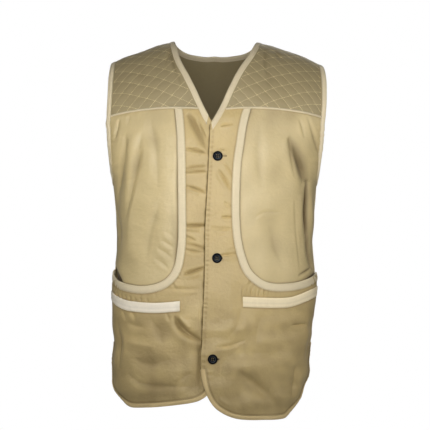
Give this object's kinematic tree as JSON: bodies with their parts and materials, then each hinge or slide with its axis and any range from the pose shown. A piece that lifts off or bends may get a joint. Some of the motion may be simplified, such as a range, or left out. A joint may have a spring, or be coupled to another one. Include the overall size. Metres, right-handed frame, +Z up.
{
  "type": "hunting vest",
  "caption": "Sleeveless V-neck hunting vest in khaki cotton with quilted yokes, curved pale-bound pocket fronts, bound edges and a buttoned front, hollow as worn.",
  "frame": {"origin": "midway between the two shoulder lines, on the vest's centre plane, where the wearer's shoulders carry it", "axes": "+Z up, -Y towards the front opening, +X towards the wearer's left"},
  "size_m": [0.4502, 0.2741, 0.7725],
  "materials": {
    "cloth": "khaki cotton sateen",
    "yoke": "quilted darker khaki cotton",
    "trim": "cream cotton bias binding",
    "button": "satin near-black"
  },
  "bodies": {
    "root": {"armhole_binding_left": "trim", "armhole_binding_right": "trim", "back": "cloth", "button_1": "button", "button_2": "button", "button_3": "button", "chest_left": "cloth", "chest_right": "cloth", "front_left": "cloth", "front_right": "cloth", "hem_binding_back": "cloth", "hem_binding_front_left": "cloth", "hem_binding_front_right": "cloth", "neck_binding": "trim", "pocket_band_left": "trim", "pocket_band_right": "trim", "welt_left": "trim", "welt_right": "trim", "yoke_back": "yoke", "yoke_front_left": "yoke", "yoke_front_right": "yoke", "yoke_piping_back": "trim", "yoke_piping_left": "trim", "yoke_piping_right": "trim"}
  },
  "joints": []
}
